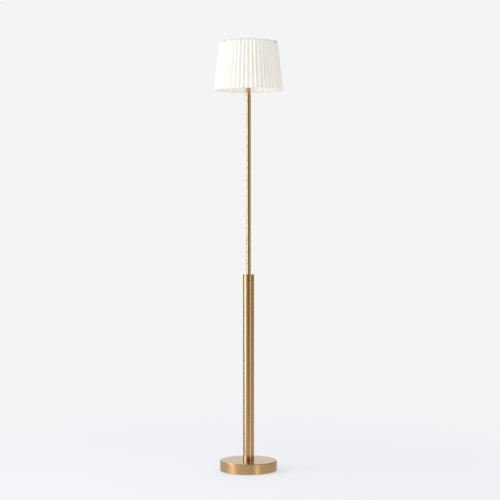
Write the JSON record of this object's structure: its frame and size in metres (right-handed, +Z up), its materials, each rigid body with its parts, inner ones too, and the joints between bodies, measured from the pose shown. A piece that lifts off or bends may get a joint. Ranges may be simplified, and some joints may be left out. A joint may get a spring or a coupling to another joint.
{
  "type": "column floor lamp",
  "caption": "Straight floor lamp with a round weighted base, a thick lower column, a thin upper pole and a pleated tapered shade on a harp.",
  "frame": {"origin": "centre of the round base on the floor", "axes": "+Z up along the column; the front, which the switch knob faces, is -Y and the cord inlet is on +Y"},
  "size_m": [0.2488, 0.2488, 1.531],
  "materials": {
    "felt": "matt felt",
    "base_brass": "satin brushed, spun",
    "cast_weight": "as cast, painted",
    "steel": "zinc plated",
    "inlet_plastic": "moulded",
    "column_brass": "satin brushed along its length",
    "collar_brass": "satin turned",
    "plug_brass": "as machined",
    "holder_brass": "drawn, polished",
    "liner_board": "vulcanised fibre",
    "holder_phenolic": "moulded",
    "contact_brass": "stamped",
    "knob_plastic": "moulded",
    "bulb_metal": "rolled",
    "bulb_black": "moulded",
    "bulb_tip": "solder",
    "bulb_housing": "moulded",
    "bulb_board": "coated board",
    "bulb_diffuser": "frosted",
    "harp_brass": "satin plated wire",
    "carrier_white": "white powder coat",
    "carrier_fastener": "nickel plated",
    "pleated_fabric": "pleated, stiffened"
  },
  "bodies": {
    "stand": {"base_pad": "felt", "base_shell": "base_brass", "base_weight": "cast_weight", "base_flat_washer": "steel", "base_lock_washer": "steel", "base_nut": "steel", "base_nipple": "steel", "inlet_bush": "inlet_plastic", "column_tube": "column_brass", "column_foot": "plug_brass", "column_cap": "collar_brass", "pole_set_screw": "steel", "pole_nipple": "steel", "pole_tube": "column_brass", "pole_foot_plug": "plug_brass", "pole_top_plug": "collar_brass", "holder_nipple": "steel", "harp_saddle": "harp_brass", "saddle_nut": "steel", "holder_cap": "holder_brass", "holder_set_screw": "steel", "holder_shell": "holder_brass", "holder_liner": "liner_board", "holder_body": "holder_phenolic", "terminal_screws": "contact_brass", "holder_screw_shell": "contact_brass", "centre_contact": "contact_brass", "switch_blade": "contact_brass", "harp_wire": "harp_brass", "harp_stud": "harp_brass"},
    "switch": {"switch_shaft": "contact_brass", "switch_cam": "holder_phenolic", "switch_knob": "knob_plastic"},
    "bulb": {"bulb_cap": "bulb_metal", "bulb_insulator": "bulb_black", "bulb_contact": "bulb_tip", "bulb_collar": "bulb_housing", "bulb_led_board": "bulb_board", "bulb_globe": "bulb_diffuser"},
    "left_sleeve": {"harp_sleeve_left": "harp_brass"},
    "right_sleeve": {"harp_sleeve_right": "harp_brass"},
    "shade": {"spider_hub": "carrier_white", "spider_arms": "carrier_white", "shade_inner_nuts": "carrier_fastener", "shade_cap_nuts": "carrier_fastener", "shade_top_ring": "carrier_white", "shade_bottom_ring": "carrier_white", "shade_pleats": "pleated_fabric"},
    "finial_knob": {"finial": "collar_brass"}
  },
  "joints": [
    {"name": "switch_turn", "type": "hinge", "parent": "stand", "child": "switch", "pos_m": [0, -0.02, 1.402], "axis": [0, -1, 0], "continuous": true},
    {"name": "bulb_turn", "type": "hinge", "parent": "stand", "child": "bulb", "pos_m": [0, 0, 1.422], "axis": [0, 0, 1], "continuous": true},
    {"name": "left_sleeve_lift", "type": "slide", "parent": "stand", "child": "left_sleeve", "axis": [0, 0, 1], "range_m": [0, 0.012]},
    {"name": "right_sleeve_lift", "type": "slide", "parent": "stand", "child": "right_sleeve", "axis": [0, 0, 1], "range_m": [0, 0.012]},
    {"name": "shade_swivel", "type": "hinge", "parent": "stand", "child": "shade", "pos_m": [0, 0, 1.5127], "axis": [0, 0, 1], "continuous": true},
    {"name": "finial_turn", "type": "hinge", "parent": "stand", "child": "finial_knob", "pos_m": [0, 0, 1.5127], "axis": [0, 0, 1], "continuous": true}
  ]
}
